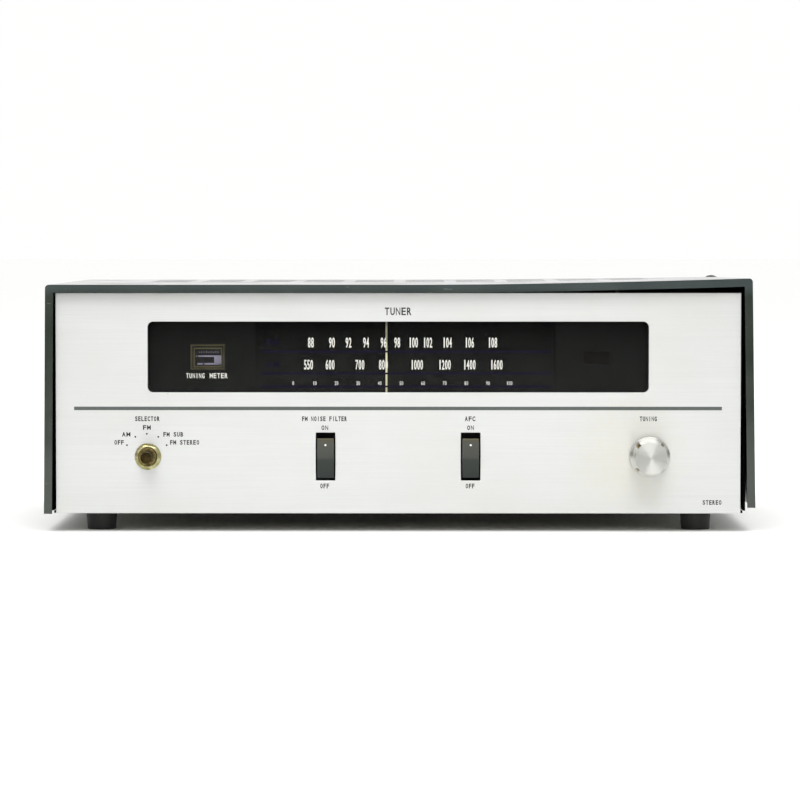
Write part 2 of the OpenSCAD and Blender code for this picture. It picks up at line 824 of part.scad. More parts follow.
module fuse_holder() {
    color("#151515") {
        bar_y([fuse_x, rear_y, fuse_z], 3, 8);
        bar_y([fuse_x, rear_y - 26, fuse_z], 27, 6.2);
        bar_y([fuse_x, rear_y + 3, fuse_z], 6, 6.5);
    }
}

module antenna_bracket() {
    z0 = rod_z - 7.5;
    color("silver") {
        block([146, rear_y + sheet, z0 - 16], [172, rear_y + 2 * sheet, z0]);
        block([146, rear_y + sheet, z0 - 1.5], [172, antenna_y + 6, z0]);
        block([170, back_y + 0.4, z0 - 1.5], [antenna_x + antenna_cap_r, antenna_y + 6, z0]);
        translate([antenna_x, antenna_y, z0 - 1]) cylinder(h = 15, r = antenna_pin_r);
    }
}

module antenna_holder() {
    z0 = rod_z - 7.2;
    color("#1d1f20") difference() {
        union() {
            translate([antenna_x, antenna_y, z0]) cylinder(h = 18.6, r = antenna_cap_r);
            translate([antenna_x, antenna_y, z0 + 18.6]) cap_dome();
            block([antenna_x - 24, antenna_y - 4, rod_z - 6.5], [antenna_x, antenna_y + 4, rod_z + 6.5]);
        }
        translate([antenna_x, antenna_y, z0 - 1]) cylinder(h = 16, r = antenna_pin_r + run);
        bar_x([antenna_x - 30, antenna_y, rod_z], 22, ferrite_r);
    }
}

// Domed end of the pivot cap
module cap_dome() {
    rotate_extrude() intersection() {
        translate([0, -antenna_cap_r]) circle(antenna_cap_r * 1.41);
        square([antenna_cap_r, 2]);
    }
}

module ferrite_rod() {
    color("#3b3632") bar_x([antenna_x - 160, antenna_y, rod_z], 150, ferrite_r);
}

faceplate();
sub_panel();
cover();
chassis();
bottom_plate();
rear_panel();
feet();
foot_screws();
panel_screws();
cord_grommet();
dial_glass();
glass_clips();
dial_backplate();
dial_bracket();
dial_spacers();
pointer_rail();
pointer();
dial_lamps();
stereo_jewel();
meter_case();
meter_scale();
meter_needle();
drum();
dial_cord();
left_idler();
right_idler();
idler_posts();
gang_frame();
gang_stators();
gang_rotor();
tuning_shaft();
tuning_bushing();
flywheel();
tuning_knob();
knob_set_screw();
selector_shaft();
selector_bushing();
selector_nut();
selector_wafers();
selector_rotors();
power_switch();
noise_filter_rocker();
afc_rocker();
rocker_cases();
transformer_core();
transformer_bells();
filter_capacitor();
tube_sockets();
tubes();
tube_shields();
if_transformers();
fm_front_end();
multiplex_board();
output_jacks();
antenna_board();
antenna_screws();
fuse_holder();
antenna_bracket();
antenna_holder();
ferrite_rod();
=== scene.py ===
import math

import bmesh
import bpy
from mathutils import Matrix, Vector
from mathutils.bvhtree import BVHTree


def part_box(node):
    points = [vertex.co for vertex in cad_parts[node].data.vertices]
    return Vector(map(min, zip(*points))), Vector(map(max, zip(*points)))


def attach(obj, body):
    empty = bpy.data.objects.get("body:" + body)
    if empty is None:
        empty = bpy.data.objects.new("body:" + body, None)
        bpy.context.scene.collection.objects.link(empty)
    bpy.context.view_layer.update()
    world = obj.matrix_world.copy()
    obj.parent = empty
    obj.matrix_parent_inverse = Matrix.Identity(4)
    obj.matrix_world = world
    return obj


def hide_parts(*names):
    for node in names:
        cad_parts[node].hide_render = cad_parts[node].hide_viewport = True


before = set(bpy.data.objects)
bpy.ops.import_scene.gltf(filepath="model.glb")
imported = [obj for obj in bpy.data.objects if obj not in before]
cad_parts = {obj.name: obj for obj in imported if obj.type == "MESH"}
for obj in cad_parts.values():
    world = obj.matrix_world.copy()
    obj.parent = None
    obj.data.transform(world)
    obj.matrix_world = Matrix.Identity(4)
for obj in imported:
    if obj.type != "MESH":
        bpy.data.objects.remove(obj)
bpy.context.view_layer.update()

MM = 0.001


# ---------------------------------------------------------------------------------------------
# Camera
# It stands nearly two metres off on a long lens, its eye just above the top of the set, and
# looks a little down and a hair to the left.
# ---------------------------------------------------------------------------------------------
plate_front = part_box("faceplate")[0].y
camera_data = bpy.data.cameras.new("camera")
camera_data.lens = 159.7
camera_data.sensor_width = 36
camera = bpy.data.objects.new("camera", camera_data)
camera.location = (0.0118, plate_front - 1.9, 0.1583)
camera.rotation_euler = (math.radians(90 - 2.637), 0, math.radians(0.325))
bpy.context.scene.collection.objects.link(camera)
bpy.context.scene.camera = camera


# ---------------------------------------------------------------------------------------------
# Studio
# A white table that runs on into white paper, one large soft light above and in front, three
# weaker ones round the set, and a darker room behind the camera, which the black glass mirrors.
# ---------------------------------------------------------------------------------------------
def colour(code):
    """An sRGB hex value as the linear colour that the shaders take."""
    channels = [int(code[i:i + 2], 16) / 255 for i in (1, 3, 5)]
    linear = [c / 12.92 if c <= 0.04045 else ((c + 0.055) / 1.055) ** 2.4 for c in channels]
    return (*linear, 1)


def add(tree, kind, links=None, **settings):
    """One node with its settings; links holds its sockets' values or the outputs that feed them."""
    made = tree.nodes.new(kind)
    for name, value in settings.items():
        setattr(made, name, value)
    for key, value in (links or {}).items():
        if isinstance(value, bpy.types.NodeSocket):
            tree.links.new(value, made.inputs[key])
        else:
            made.inputs[key].default_value = value
    return made


def ramp(tree, factor, stops):
    """A colour ramp over factor, with its stops as (place, grey or hex colour)."""
    made = add(tree, "ShaderNodeValToRGB", {0: factor})
    elements = made.color_ramp.elements
    while len(elements) < len(stops):
        elements.new(0.5)
    for element, (place, shade) in zip(elements, stops):
        element.position = place
        element.color = colour(shade) if isinstance(shade, str) else (shade, shade, shade, 1)
    return made.outputs[0]


def noise(tree, where, size_mm, detail, roughness=0.5):
    """Cloudy noise with patches of about size_mm."""
    made = add(tree, "ShaderNodeTexNoise", {"Vector": where, "Scale": 1 / (size_mm * MM), "Detail": detail,
                                            "Roughness": roughness})
    return made.outputs[0]


def relief(tree, shader, height, strength, depth_mm):
    """Feeds height into the shader's normal as a fine relief."""
    bump = add(tree, "ShaderNodeBump", {"Height": height, "Strength": strength, "Distance": depth_mm * MM})
    tree.links.new(bump.outputs[0], shader.inputs["Normal"])


def new_finish(name, base, roughness, metallic=0.0):
    """A material that starts as plain Principled, with its tree and shader to build on."""
    material = bpy.data.materials.new(name)
    material.use_nodes = True
    shader = material.node_tree.nodes["Principled BSDF"]
    shader.inputs["Base Color"].default_value = colour(base)
    shader.inputs["Roughness"].default_value = roughness
    shader.inputs["Metallic"].default_value = metallic
    return material, material.node_tree, shader


def link_mesh(name, bm, material, smooth=35):
    """Turns a bmesh into an object at the origin, with its material and smooth shading."""
    mesh = bpy.data.meshes.new(name)
    bm.to_mesh(mesh)
    bm.free()
    for polygon in mesh.polygons:
        polygon.use_smooth = True
    mesh.set_sharp_from_angle(angle=math.radians(smooth))
    mesh.materials.append(material)
    made = bpy.data.objects.new(name, mesh)
    bpy.context.scene.collection.objects.link(made)
    flat = made.modifiers.new("flat_faces_stay_flat", "WEIGHTED_NORMAL")
    flat.keep_sharp = True
    return made


def white_paper():
    """Matt paper with a faint tooth, so the floor isn't quite flat."""
    material, tree, shader = new_finish("matt_white_paper", "#F7F7F6", 0.75)
    where = add(tree, "ShaderNodeTexCoord").outputs["Object"]
    grain = noise(tree, where, 8.33, 4)
    relief(tree, shader, grain, 0.02, 1)
    return material


floor_half = 12
floor_front = -1.75
bm = bmesh.new()
bmesh.ops.create_grid(bm, x_segments=24, y_segments=24, size=floor_half)
bmesh.ops.translate(bm, vec=(0, floor_front + floor_half, 0), verts=bm.verts)
floor = link_mesh("floor", bm, white_paper())

world = bpy.data.worlds.new("white_room")
bpy.context.scene.world = world
world.use_nodes = True
tree = world.node_tree
sky = tree.nodes["Background"]
where = add(tree, "ShaderNodeTexCoord").outputs["Generated"]
direction = add(tree, "ShaderNodeSeparateXYZ", {0: where})
height = add(tree, "ShaderNodeMath", {0: direction.outputs["Z"]}, operation="ABSOLUTE")
low = ramp(tree, height.outputs[0], [(0.07, 1.0), (0.2, 0.0)])
forward = add(tree, "ShaderNodeMath", {0: direction.outputs["Y"], 1: -1.0}, operation="MULTIPLY")
behind_camera = ramp(tree, forward.outputs[0], [(0.72, 0.0), (0.92, 1.0)])
dark = add(tree, "ShaderNodeMath", {0: low, 1: behind_camera}, operation="MULTIPLY")
room = add(tree, "ShaderNodeMix", {0: dark.outputs[0], 6: (1.06, 1.06, 1.05, 1), 7: (0.07, 0.07, 0.065, 1)},
           data_type="RGBA")
path = add(tree, "ShaderNodeLightPath")
seen = add(tree, "ShaderNodeMix", {0: path.outputs["Is Camera Ray"], 6: room.outputs[2],
                                   7: (1.0, 1.0, 0.995, 1)}, data_type="RGBA")
tree.links.new(seen.outputs[2], sky.inputs["Color"])

for name, place, aim, size, power in (
        ("key", (-0.1, -1.5, 2.1), (0, -0.1, 0.05), (2.6, 1.4), 38),
        ("top", (0.3, 0.7, 2.2), (0, 0.0, 0.1), (2.6, 1.6), 12),
        ("left", (-2.2, -0.8, 0.9), (0, 0, 0.06), (1.2, 1.4), 4),
        ("right", (2.2, -0.8, 0.9), (0, 0, 0.06), (1.2, 1.4), 5)):
    lamp = bpy.data.lights.new(name, "AREA")
    lamp.shape = "RECTANGLE"
    lamp.size, lamp.size_y = size
    lamp.energy = power
    lamp_object = bpy.data.objects.new(name, lamp)
    lamp_object.location = place
    lamp_object.rotation_euler = (Vector(aim) - Vector(place)).to_track_quat("-Z", "Y").to_euler()
    bpy.context.scene.collection.objects.link(lamp_object)
bpy.context.scene.view_settings.view_transform = "Standard"

black_card = new_finish("matt_black_card", "#050505", 0.9)[0]
for side in (-1, 1):
    bm = bmesh.new()
    bm.faces.new([bm.verts.new((side * x, y, z)) for x, y, z in
                  ((0.26, -0.95, 0), (1.5, -0.35, 0), (1.5, -0.35, 0.3), (0.26, -0.95, 0.3))])
    card = link_mesh("black_card_left" if side < 0 else "black_card_right", bm, black_card)
    card.visible_camera = card.visible_diffuse = card.visible_shadow = card.visible_transmission = False


# ---------------------------------------------------------------------------------------------
# Chassis, sub-panel and bottom plate
# Folded 1.2 mm steel, plated with cadmium that has dulled to a soft grey with cloudy patches
# and a few white bloom spots. Its two ends are painted black as painted shade, for the dark gap
# inside the cover's legs. Pressed bends are slightly round.
# ---------------------------------------------------------------------------------------------
def streaks_of(tree, where, waves, detail, roughness=0.5):
    """Noise with its own number of waves a metre along X, Y and Z, for lines that run one way."""
    stretched = add(tree, "ShaderNodeMapping", {"Vector": where, "Scale": waves})
    made = add(tree, "ShaderNodeTexNoise", {"Vector": stretched.outputs[0], "Scale": 1, "Detail": detail,
                                            "Roughness": roughness})
    return made.outputs[0]


def spread(tree, value, low, high, to_low=0.0, to_high=1.0):
    """value from low to high, spread over to_low to to_high."""
    made = add(tree, "ShaderNodeMapRange", {0: value, 1: low, 2: high, 3: to_low, 4: to_high})
    return made.outputs[0]


def blend(tree, share, under, over):
    """The colour under with a share of the hex colour over laid on it."""
    made = add(tree, "ShaderNodeMix", {0: share, 6: under, 7: colour(over)}, data_type="RGBA")
    return made.outputs[2]


def plated_steel(name, base, cloud, roughness=0.38, patch_mm=22, painted_shade_beyond=None):
    """Cadmium or zinc plate: cloudy patches of two greys, faint rolling lines and small spots. Beyond
    the given distance from the middle it is painted black, as painted shade for a dark gap."""
    material, tree, shader = new_finish(name, base, roughness, 1.0)
    where = add(tree, "ShaderNodeTexCoord").outputs["Object"]
    patches = noise(tree, where, patch_mm, 5, 0.62)
    lines = streaks_of(tree, where, (40, 40, 1500), 3)
    spots = add(tree, "ShaderNodeTexVoronoi", {"Vector": where, "Scale": 1 / (5 * MM)})
    bloom = ramp(tree, spots.outputs["Distance"], [(0.03, 1.0), (0.09, 0.0)])
    shade = ramp(tree, patches, [(0.35, cloud), (0.62, base)])
    spotted = blend(tree, bloom, shade, "#C9CAC6")
    # Painted shade: black past the given distance from the middle.
    if painted_shade_beyond:
        apart = add(tree, "ShaderNodeSeparateXYZ", {0: where})
        across = add(tree, "ShaderNodeMath", {0: apart.outputs["X"]}, operation="ABSOLUTE")
        in_painted_shade = add(tree, "ShaderNodeMath", {0: across.outputs[0], 1: painted_shade_beyond},
                      operation="GREATER_THAN")
        spotted = blend(tree, in_painted_shade.outputs[0], spotted, "#0A0A0A")
    tree.links.new(spotted, shader.inputs["Base Color"])
    rough = spread(tree, patches, 0.3, 0.7, roughness - 0.08, roughness + 0.14)
    tree.links.new(rough, shader.inputs["Roughness"])
    relief(tree, shader, lines, 0.12, 0.2)
    return material


def soften(bm, width, segments, angle):
    """Rounds every edge sharper than angle and marks the round faces, where finishes wear first."""
    sharp = [e for e in bm.edges if e.is_manifold and e.calc_face_angle(0) > math.radians(angle)]
    layer = bm.loops.layers.float_color.get("wear") or bm.loops.layers.float_color.new("wear")
    for face in bm.faces:
        for loop in face.loops:
            loop[layer] = (0, 0, 0, 1)
    rounded = bmesh.ops.bevel(bm, geom=sharp, offset=width, offset_type="OFFSET", affect="EDGES",
                              segments=segments, profile=0.5, material=-1, clamp_overlap=True)
    for face in rounded["faces"]:
        for loop in face.loops:
            loop[layer] = (1, 1, 1, 1)


def cad_copy(node):
    """A bmesh of a CAD node with its flat faces whole again, ready for its edges to be rounded."""
    bm = bmesh.new()
    bm.from_mesh(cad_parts[node].data)
    bmesh.ops.remove_doubles(bm, verts=bm.verts, dist=2e-6)
    bmesh.ops.dissolve_limit(bm, angle_limit=math.radians(1), verts=bm.verts, edges=bm.edges)
    return bm


def refine(node, body, material, width=0.2 * MM, segments=2, angle=35):
    """Stands for a CAD node with a copy whose edges are rounded."""
    bm = cad_copy(node)
    soften(bm, width, segments, angle)
    made = link_mesh(node + "_finished", bm, material)
    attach(made, body)
    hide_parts(node)


def dress(node, material):
    """Gives a CAD node that keeps its own shape its finish."""
    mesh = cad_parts[node].data
    mesh.materials.clear()
    mesh.materials.append(material)


# Painted shade: the chassis is painted black past here, for the dark gap inside the cover's legs.
painted_shade_ends = 183.2 * MM
cadmium = plated_steel("dulled_cadmium_plate", "#9D9D94", "#8A8A80", painted_shade_beyond=painted_shade_ends)
bright_zinc = plated_steel("bright_zinc_plate", "#B4B6B5", "#9FA2A4", 0.28, 9)
for node in ("chassis", "sub_panel", "bottom_plate"):
    refine(node, "set", cadmium, 0.3 * MM)
for node in ("idler_posts", "pointer_rail"):
    refine(node, "set", bright_zinc, 0.12 * MM)


# ---------------------------------------------------------------------------------------------
# Mains transformer and smoothing capacitor
# A varnished stack of silicon-steel laminations between two black-enamelled bells, and a
# drawn aluminium can beside it in a clamp ring.
# ---------------------------------------------------------------------------------------------
def laminations():
    """Thin stacked sheets under brown varnish, drawn 2 mm apart so that the lines show."""
    material, tree, shader = new_finish("varnished_laminations", "#5A4E40", 0.45, 0.6)
    where = add(tree, "ShaderNodeTexCoord").outputs["Object"]
    sheets = add(tree, "ShaderNodeTexWave", {"Vector": where, "Scale": 157, "Distortion": 0.6, "Detail": 2},
                 bands_direction="Y")
    rust = noise(tree, where, 9, 6)
    shade = ramp(tree, rust, [(0.4, "#4A4035"), (0.62, "#6E5234")])
    tree.links.new(shade, shader.inputs["Base Color"])
    relief(tree, shader, sheets.outputs[0], 0.5, 0.3)
    return material


def enamel(name, base, worn, bare="#8F8F8A", roughness=0.36, chip=0.5, shine=0.5, peel_depth=0.22):
    """Sprayed and baked enamel: a faint orange peel, slow changes of shade, and chips at the edges
    where the bare metal shows."""
    material, tree, shader = new_finish(name, base, roughness)
    shader.inputs["Specular IOR Level"].default_value = shine
    where = add(tree, "ShaderNodeTexCoord").outputs["Object"]
    drift = noise(tree, where, 30, 5)
    shade = ramp(tree, drift, [(0.35, base), (0.68, worn)])
    edge = add(tree, "ShaderNodeAttribute", attribute_name="wear")
    flake = noise(tree, where, 2.2, 6, 0.7)
    chips = ramp(tree, flake, [(chip + 0.07, 0.0), (chip + 0.12, 1.0)])
    bare_share = add(tree, "ShaderNodeMath", {0: chips, 1: edge.outputs["Fac"]}, operation="MULTIPLY")
    mixed = blend(tree, bare_share.outputs[0], shade, bare)
    tree.links.new(mixed, shader.inputs["Base Color"])
    rough = spread(tree, drift, 0.3, 0.7, roughness - 0.05, roughness + 0.09)
    tree.links.new(rough, shader.inputs["Roughness"])
    peel = noise(tree, where, 1.6, 2)
    depth = add(tree, "ShaderNodeMath", {0: bare_share.outputs[0], 1: -0.8, 2: peel},
                operation="MULTIPLY_ADD")
    relief(tree, shader, depth.outputs[0], peel_depth, 0.3)
    return material


def drawn_aluminium():
    """Deep-drawn cans: bright, with fine vertical draw lines and small dull spots."""
    material, tree, shader = new_finish("drawn_aluminium", "#BFC0C0", 0.3, 1.0)
    where = add(tree, "ShaderNodeTexCoord").outputs["Object"]
    lines = streaks_of(tree, where, (900, 900, 30), 3)
    dull = noise(tree, where, 7, 5)
    tree.links.new(ramp(tree, dull, [(0.38, "#A3A4A4"), (0.6, "#C6C7C7")]), shader.inputs["Base Color"])
    tree.links.new(ramp(tree, lines, [(0.3, 0.24), (0.7, 0.42)]), shader.inputs["Roughness"])
    relief(tree, shader, lines, 0.1, 0.2)
    return material


can_finish = drawn_aluminium()
refine("transformer_core", "set", laminations(), 0.3 * MM)
refine("transformer_bells", "set", enamel("black_bell_enamel", "#16181A", "#202325"), 0.8 * MM, 3, 20)
refine("filter_capacitor", "set", can_finish, 0.6 * MM, 3)


# ---------------------------------------------------------------------------------------------
# Tubes, sockets and shields
# Blown glass envelopes with a silvery getter patch inside the top, in mica-filled sockets; three
# wear plain drawn shields. Square cans of the same metal hold the tuned transformers.
# ---------------------------------------------------------------------------------------------
def tube_glass():
    """Thin clear glass, darkened by the getter's mirror towards the tip."""
    material, tree, shader = new_finish("blown_tube_glass", "#D8E0E0", 0.05)
    where = add(tree, "ShaderNodeTexCoord").outputs["Object"]
    height = add(tree, "ShaderNodeSeparateXYZ", {0: where}).outputs["Z"]
    cloud = noise(tree, where, 6, 4)
    edge = add(tree, "ShaderNodeMath", {0: cloud, 1: 0.008, 2: height}, operation="MULTIPLY_ADD")
    getter = ramp(tree, spread(tree, edge.outputs[0], 0.098, 0.108), [(0.2, 0.0), (0.8, 1.0)])
    shade = blend(tree, getter, colour("#D8E0E0"), "#6E7072")
    tree.links.new(shade, shader.inputs["Base Color"])
    tree.links.new(spread(tree, getter, 0, 1, 0.22, 0.95), shader.inputs["Alpha"])
    return material


def moulded(name, base, worn, roughness=0.42, grain_mm=0.7, specular=0.5):
    """Moulded plastic or rubber: a fine grain, slight changes of shade, and paler rubbed edges."""
    material, tree, shader = new_finish(name, base, roughness)
    shader.inputs["Specular IOR Level"].default_value = specular
    where = add(tree, "ShaderNodeTexCoord").outputs["Object"]
    drift = noise(tree, where, 8, 5)
    edge = add(tree, "ShaderNodeAttribute", attribute_name="wear")
    rub = add(tree, "ShaderNodeMath", {0: drift, 1: edge.outputs["Fac"]}, operation="MULTIPLY")
    shade = ramp(tree, drift, [(0.35, base), (0.9, worn)])
    mixed = blend(tree, rub.outputs[0], shade, worn)
    tree.links.new(mixed, shader.inputs["Base Color"])
    grain = noise(tree, where, grain_mm, 3)
    rough = spread(tree, drift, 0.3, 0.7, roughness - 0.06, roughness + 0.1)
    tree.links.new(rough, shader.inputs["Roughness"])
    relief(tree, shader, grain, 0.12, 0.2)
    return material


def phenolic(name, base, dark):
    """Pressed phenolic: mottled brown with a fibre that runs one way and a dull sheen."""
    material, tree, shader = new_finish(name, base, 0.48)
    where = add(tree, "ShaderNodeTexCoord").outputs["Object"]
    weave = streaks_of(tree, where, (1600, 1600, 260), 4)
    tree.links.new(ramp(tree, weave, [(0.35, dark), (0.62, base)]), shader.inputs["Base Color"])
    relief(tree, shader, weave, 0.1, 0.2)
    return material


dress("tubes", tube_glass())
refine("tube_sockets", "set", phenolic("mica_filled_phenolic", "#B39E72", "#8E7A52"), 0.3 * MM)
refine("tube_shields", "set", can_finish, 0.15 * MM)
refine("if_transformers", "set", can_finish, 1.0 * MM, 3)
refine("fm_front_end", "set", bright_zinc, 0.5 * MM)
board = phenolic("paper_phenolic_board", "#8A6534", "#6F4D24")
refine("multiplex_board", "set", board, 0.3 * MM)


# ---------------------------------------------------------------------------------------------
# Tuning gang and dial drive
# A plated frame holds aluminium vanes; a nylon drum on the rotor's shaft is turned by a waxed
# cord from a brass-weighted spindle, which also draws the pointer along its rail.
# ---------------------------------------------------------------------------------------------
def brass(name, base="#B59A5A", dark="#7E6A3C", roughness=0.34):
    """Turned brass gone brown: cloudy tarnish over warm yellow metal, with fine tool marks."""
    material, tree, shader = new_finish(name, base, roughness, 1.0)
    where = add(tree, "ShaderNodeTexCoord").outputs["Object"]
    tarnish = noise(tree, where, 3.5, 6, 0.65)
    tree.links.new(ramp(tree, tarnish, [(0.36, dark), (0.6, base)]), shader.inputs["Base Color"])
    tree.links.new(ramp(tree, tarnish, [(0.3, roughness + 0.16), (0.7, roughness - 0.06)]),
                   shader.inputs["Roughness"])
    marks = streaks_of(tree, where, (300, 4000, 300), 2)
    relief(tree, shader, marks, 0.12, 0.1)
    return material


def waxed_cord():
    """Braided cord 0.8 mm thick, drawn with a coarse lay so that the plait shows."""
    material, tree, shader = new_finish("waxed_dial_cord", "#C9B78C", 0.6)
    where = add(tree, "ShaderNodeTexCoord").outputs["Object"]
    plait = add(tree, "ShaderNodeTexVoronoi", {"Vector": where, "Scale": 1 / (0.5 * MM)})
    tree.links.new(ramp(tree, plait.outputs["Distance"], [(0.2, "#D2C19A"), (0.9, "#9A8760")]),
                   shader.inputs["Base Color"])
    relief(tree, shader, plait.outputs["Distance"], 0.5, 0.2)
    return material


nylon = moulded("natural_nylon", "#CDC6AC", "#DAD4BE", 0.4)
old_brass = brass("tarnished_brass")
for node in ("gang_frame", "gang_stators", "gang_rotor"):
    dress(node, bright_zinc)
for node, body in (("drum", "dial_drum"), ("left_idler", "idler_left"), ("right_idler", "idler_right")):
    refine(node, body, nylon, 0.15 * MM)
dress("dial_cord", waxed_cord())
refine("tuning_shaft", "tuning", bright_zinc, 0.2 * MM)
refine("tuning_bushing", "set", old_brass, 0.15 * MM)
refine("flywheel", "tuning", old_brass, 0.5 * MM, 3)


# ---------------------------------------------------------------------------------------------
# Dial
# Behind the glass stands a black-painted steel plate. The pointer is a cream-painted needle on
# a carriage that slides on the rail; two festoon lamps and the stereo lamp are dark.
# ---------------------------------------------------------------------------------------------
flat_black = enamel("flat_black_paint", "#0B0B0B", "#121211", "#3A3A38", roughness=0.8, shine=0.08)
for node in ("dial_backplate", "dial_bracket", "dial_spacers", "glass_clips"):
    refine(node, "set", flat_black, 0.12 * MM)
refine("dial_lamps", "set", moulded("frosted_lamp_glass", "#C8C4B4", "#D8D4C6", 0.35), 0.3 * MM)


def cream_paint():
    """Cream paint on the needle, with painted shade that greys it towards the top, in patches."""
    material, tree, shader = new_finish("cream_pointer_paint", "#F1E9BE", 0.5)
    where = add(tree, "ShaderNodeTexCoord").outputs["Object"]
    height = add(tree, "ShaderNodeSeparateXYZ", {0: where}).outputs["Z"]
    shade_patches = noise(tree, where, 3, 4)
    # Painted shade: greyer towards the top, where the faceplate's edge shades the needle, broken into
    # patches.
    high = spread(tree, height, 0.094, 0.104)
    mixed = add(tree, "ShaderNodeMath", {0: high, 1: shade_patches}, operation="MULTIPLY")
    tree.links.new(ramp(tree, mixed.outputs[0], [(0.0, "#F6EFC6"), (0.6, "#8B8876")]),
                   shader.inputs["Base Color"])
    return material


refine("pointer", "dial_pointer", cream_paint(), 0.1 * MM)
dark_red = moulded("unlit_dark_red_acrylic", "#0C0706", "#120A08", 0.2, specular=0.15)
refine("stereo_jewel", "set", dark_red, 0.3 * MM, 3)


# ---------------------------------------------------------------------------------------------
# Tuning meter
# A small moulded case, a printed scale inside and a short hand on jewel bearings. Olive plastic
# with rubbed edges, so that it reads against the black round it.
# ---------------------------------------------------------------------------------------------
olive = moulded("olive_meter_case", "#1A190F", "#4A4630", 0.5, specular=0.2)
refine("meter_case", "set", olive, 0.35 * MM, 3)
refine("meter_scale", "set", enamel("black_meter_card", "#131214", "#1A191D", roughness=0.6), 0.1 * MM)
dress("meter_needle", enamel("dark_needle_lacquer", "#2A1C1A", "#1E1616", chip=0.9))


# ---------------------------------------------------------------------------------------------
# Dial glass
# A pane of smoked glass, dark and glossy. It lets enough through for the needle and the meter
# behind it to show, and the dust film on it turns it greyer towards the bottom; its darker top
# is also painted shade for the faceplate edge's shadow.
# ---------------------------------------------------------------------------------------------
def smoked_glass():
    """Grey glass with a film of dust and smears that lies thicker towards the bottom, its darker top also
    painted shade from the faceplate's edge.
    """
    material, tree, shader = new_finish("smoked_dial_glass", "#101011", 0.06)
    where = add(tree, "ShaderNodeTexCoord").outputs["Object"]
    height = add(tree, "ShaderNodeSeparateXYZ", {0: where}).outputs["Z"]
    # Dust and painted shade: paler towards the bottom, darker at the top where the faceplate's edge shades
    # the pane.
    low_down = spread(tree, height, 0.114, 0.076)
    smears = noise(tree, where, 14, 6)
    uneven = spread(tree, smears, 0.3, 0.7, 0.6, 1.2)
    dust_and_shade_film = add(tree, "ShaderNodeMath", {0: low_down, 1: uneven}, operation="MULTIPLY")
    tree.links.new(ramp(tree, dust_and_shade_film.outputs[0], [(0.05, "#131413"), (1.0, "#4C4D4A")]),
                   shader.inputs["Base Color"])
    streaks = streaks_of(tree, where, (260, 260, 60), 4)
    tree.links.new(ramp(tree, streaks, [(0.62, 0.1), (0.78, 0.2)]), shader.inputs["Alpha"])
    return material


refine("dial_glass", "set", smoked_glass(), 0.2 * MM)


# ---------------------------------------------------------------------------------------------
# Mask on the back of the glass
# Black ink printed just inside the pane's back, at both ends, left open for the scale, the
# meter and the stereo lamp. It is painted shade for the dark inside of the set: duller than the
# glass, so no lamp or bracket shows behind it.
# ---------------------------------------------------------------------------------------------
def ink(name, base, thin, roughness=0.5, shine=0.5):
    """Screen ink, a little thin in places, where the ground shows through as a second shade."""
    material, tree, shader = new_finish(name, base, roughness)
    shader.inputs["Specular IOR Level"].default_value = shine
    where = add(tree, "ShaderNodeTexCoord").outputs["Object"]
    patchy = noise(tree, where, 0.6, 3)
    shade = ramp(tree, patchy, [(0.45, base), (0.85, thin)])
    tree.links.new(shade, shader.inputs["Base Color"])
    relief(tree, shader, patchy, 0.05, 0.05)
    return material


def print_bar(bm, low, high, y):
    """Adds one flat printed rectangle between two corners in X and Z."""
    corners = [(low[0], y, low[1]), (high[0], y, low[1]), (high[0], y, high[1]), (low[0], y, high[1])]
    bm.faces.new([bm.verts.new(c) for c in corners])


glass_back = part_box("dial_glass")[1].y
mask_y = glass_back - 0.05 * MM
mask_end = 137.2 * MM
mask_bottom, mask_top = 72.5 * MM, 115.1 * MM
scale_left, scale_right = -76.5 * MM, 84.5 * MM
window_low, window_high = Vector((-0.1117, 0, 0.0866)), Vector((-0.0929, 0, 0.1007))
jewel_low, jewel_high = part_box("stereo_jewel")
bm = bmesh.new()
for left, right in ((-mask_end, window_low.x), (window_high.x, scale_left), (scale_right, jewel_low.x),
                    (jewel_high.x, mask_end)):
    print_bar(bm, (left, mask_bottom), (right, mask_top), mask_y)
for low, high in ((window_low, window_high), (jewel_low, jewel_high)):
    print_bar(bm, (low.x, mask_bottom), (high.x, low.z), mask_y)
    print_bar(bm, (low.x, high.z), (high.x, mask_top), mask_y)
# Painted shade: the mask stands for the dark, shaded inside of the set behind the glass.
mask = link_mesh("dial_mask", bm, ink("black_mask_painted_shade_ink", "#101110", "#151614", 0.8, 0.08))
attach(mask, "set")


